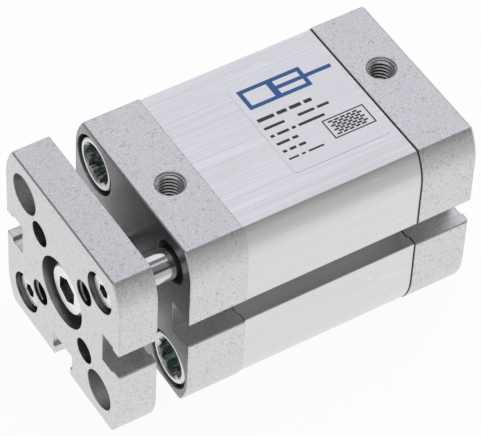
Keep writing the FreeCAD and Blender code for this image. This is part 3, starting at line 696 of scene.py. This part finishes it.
def print_symbol():
    """Plain circuit symbol of a cylinder, in place of a name."""
    start, length, far, near, stroke = 1.3, 13.0, -10.4, -5.4, 0.85
    piston, rod_end = 7.0, 19.6
    centre = (far + near) / 2
    print_ink_piece([
        ink_frame(start, length, far, near, stroke),
        ink_bar(piston, stroke * 1.5, far + stroke / 2, near - stroke / 2, layer=1),
        ink_bar(piston + stroke, rod_end - piston - stroke, centre - stroke / 2, centre + stroke / 2,
                layer=2),
    ], "label_symbol", BLUE_INK)


def print_rules():
    """Rows of plain dashes where data would stand. A negative dash is a space."""
    start_of_row, gap = 0.9, 0.6
    rows = [        # place across, height, dashes
        (-2.5, 0.80, (3.4, 2.0, 2.4, 1.6)),
        (-0.3, 0.60, (4.2, -1.6, 3.4, 2.4)),
        (1.8, 0.60, (0.8, 2.4, 0.8, 5.4)),
        (3.9, 0.60, (2.6, 1.2)),
        (5.9, 0.60, (0.8, 1.3, 1.4)),
        (7.9, 0.40, (2.0, 0.8, 3.2)),
    ]
    bars = []
    for across, height, dashes in rows:
        start = start_of_row
        for dash in dashes:
            if dash > 0:
                bars.append(ink_bar(start, dash, across - height / 2, across + height / 2))
            start += abs(dash) + gap
    print_ink_piece(bars, "label_rules", BLACK_INK)


def print_block():
    """Framed block of plain bricks."""
    start, length, far, near, stroke = 10.6, 8.6, 3.0, 7.8, 0.26
    brick, gap, course, joint = 0.97, 0.30, 0.39, 0.14
    columns, rows = 5, 7
    first = start + (length - columns * (brick + gap) - brick / 2) / 2
    top = (far + near - rows * (course + joint) + joint) / 2
    bars = [ink_frame(start, length, far, near, stroke)]
    for row in range(rows):
        edge = top + row * (course + joint)
        shift = (row % 2) * (brick + gap) / 2
        for column in range(columns):
            bars.append(ink_bar(first + shift + column * (brick + gap), brick, edge, edge + course))
    print_ink_piece(bars, "label_block", BLACK_INK)


def lay_film():
    """Clear label film with round corners and a thin grey edge."""
    film = add_block((LABEL_FRONT - LABEL_LENGTH, LABEL_FAR, BARREL_TOP - 0.02 * MM),
                     (LABEL_FRONT, LABEL_NEAR, FILM_TOP))
    rename(film, "label_film")
    edit(film)
    select_where(film, "edges", is_upright)
    bpy.ops.mesh.bevel(offset=FILM_CORNER, segments=6)
    select_where(film, "faces", lambda face: face.normal.z > 0.9)
    bpy.ops.mesh.inset(thickness=FILM_OUTLINE, depth=0)
    mesh = bmesh.from_edit_mesh(film.data)
    for face in mesh.faces:
        face.material_index = 0 if face.select else 1
    bmesh.update_edit_mesh(film.data)
    close_edit()
    finish_piece(film, "housing", "anodised_barrel", LABEL_FILM, GREY_INK)


# ---------------------------------------------------------------------- studio

def make_camera():
    """Long lens from above the near front corner."""
    azimuth = math.radians(145.94)
    elevation = math.radians(48.01)
    roll = math.radians(3.07)
    distance = 571.4 * MM
    aim = Vector((36.4, 0.5, -0.3)) * MM
    back = Vector((math.sin(azimuth) * math.cos(elevation),
                   -math.cos(azimuth) * math.cos(elevation),
                   math.sin(elevation)))
    data = bpy.data.cameras.new("camera")
    data.lens = 239.4
    data.sensor_width = 36
    data.shift_x = -0.0023
    data.shift_y = -0.0006
    data.clip_start = 0.01
    data.clip_end = 20
    camera = bpy.data.objects.new("camera", data)
    bpy.context.scene.collection.objects.link(camera)
    turn = (-back).to_track_quat("-Z", "Y") @ Euler((0, 0, roll)).to_quaternion()
    camera.rotation_mode = "QUATERNION"
    camera.rotation_quaternion = turn
    camera.location = aim + back * distance
    bpy.context.scene.camera = camera


def softbox(name, towards, distance, width, height, radiance, colour):
    """Rectangular lamp that faces the part from the given direction."""
    aim = Vector((36, 0, 10)) * MM
    direction = Vector(towards).normalized()
    data = bpy.data.lights.new(name, "AREA")
    data.shape = "RECTANGLE"
    data.size = width
    data.size_y = height
    data.energy = radiance * math.pi * width * height
    data.color = colour
    lamp = bpy.data.objects.new(name, data)
    bpy.context.scene.collection.objects.link(lamp)
    lamp.location = aim + direction * distance
    lamp.rotation_euler = direction.to_track_quat("Z", "Y").to_euler()


def ray_is(finish, kind):
    path = finish.node("ShaderNodeLightPath").socket.node.outputs
    return Signal(finish, path[f"Is {kind} Ray"])


def make_floor():
    """White glowing table top with a painted pool of light round the part: it turns grey farther out. A
    little matt so that it keeps the shadow.
    """
    centre_x, centre_y = 20 * MM, -22 * MM
    white_radius, grey_radius = 77 * MM, 180 * MM
    glow_share = 0.94
    bpy.ops.object.select_all(action="DESELECT")
    bpy.ops.mesh.primitive_grid_add(x_subdivisions=8, y_subdivisions=8, size=6,
                                    location=(0, 0, CAD_BOUNDS[0][2]))
    floor = rename(bpy.context.object, "floor")
    freeze(floor)
    finish = new_finish("studio_floor")
    x, y, _ = finish.axes()
    away = (x - centre_x).math("POWER", 2) + (y - centre_y).math("POWER", 2)
    cloud = finish.noise(3, detail=2)
    clean = finish.mix(cloud, (1.0, 0.996, 0.99, 1), (1.0, 1.0, 1.0, 1))
    # Painted pool of light: white within white_radius of the centre, grey beyond grey_radius
    painted_falloff = finish.ramp(away.math("SQRT"), (white_radius, grey(0.0)), (grey_radius, grey(1.0)))
    tone = finish.mix(painted_falloff, clean, grey(0.62))
    glow = finish.node("ShaderNodeEmission", inputs={"Color": tone, "Strength": 1.0})
    matt = finish.node("ShaderNodeBsdfDiffuse", inputs={"Color": tone})
    shader = finish.node("ShaderNodeMixShader", inputs={0: glow_share, 1: matt, 2: glow})
    finish.node("ShaderNodeOutputMaterial", inputs={"Surface": shader})
    paint(floor, finish.owner)


def make_world():
    """Pale walls, a dark band and a grey ceiling for metal to show, and even light for the rest."""
    world = bpy.data.worlds.new("studio")
    bpy.context.scene.world = world
    room = Finish(world)
    direction = room.node("ShaderNodeTexCoord", output="Generated")
    split = room.node("ShaderNodeSeparateXYZ", inputs={"Vector": direction})
    height = Signal(room, split.socket.node.outputs["Z"])
    ceiling = grey(0.24, blue=1.08)
    walls = room.ramp(height, (0.0, grey(0.66)), (0.20, grey(0.58)), (0.33, grey(0.06)),
                      (0.46, grey(0.08)), (0.62, ceiling), (1.0, ceiling))
    even = (0.62, 0.62, 0.64, 1)
    shown = room.mix(ray_is(room, "Diffuse"), walls, even)
    background = room.node("ShaderNodeBackground", inputs={"Color": shown, "Strength": 1.0})
    room.node("ShaderNodeOutputWorld", inputs={"Surface": background})


def light_part():
    """A softbox behind and above the part, and a weak fill overhead."""
    softbox("key_box", towards=(-0.50, -0.43, 0.74), distance=0.45, width=0.56, height=0.30,
            radiance=0.87, colour=(0.925, 0.92, 1.0))
    softbox("top_box", towards=(0.14, 0.21, 0.967), distance=0.50, width=0.50, height=0.34,
            radiance=0.55, colour=(1.0, 1.0, 1.0))


# ----------------------------------------------------------------------- build

bpy.context.scene.view_settings.view_transform = "Standard"
make_camera()
dress_frame()
cut_threads()
seam_line("seam_rear", cut=SEAM_REAR + 0.14 * MM, width=0.28 * MM, proud=0.03 * MM)
seam_line("seam_front", cut=SEAM_FRONT - 0.06 * MM, width=0.10 * MM, proud=0.02 * MM)
lay_film()
print_symbol()
print_rules()
print_block()
make_floor()
make_world()
light_part()
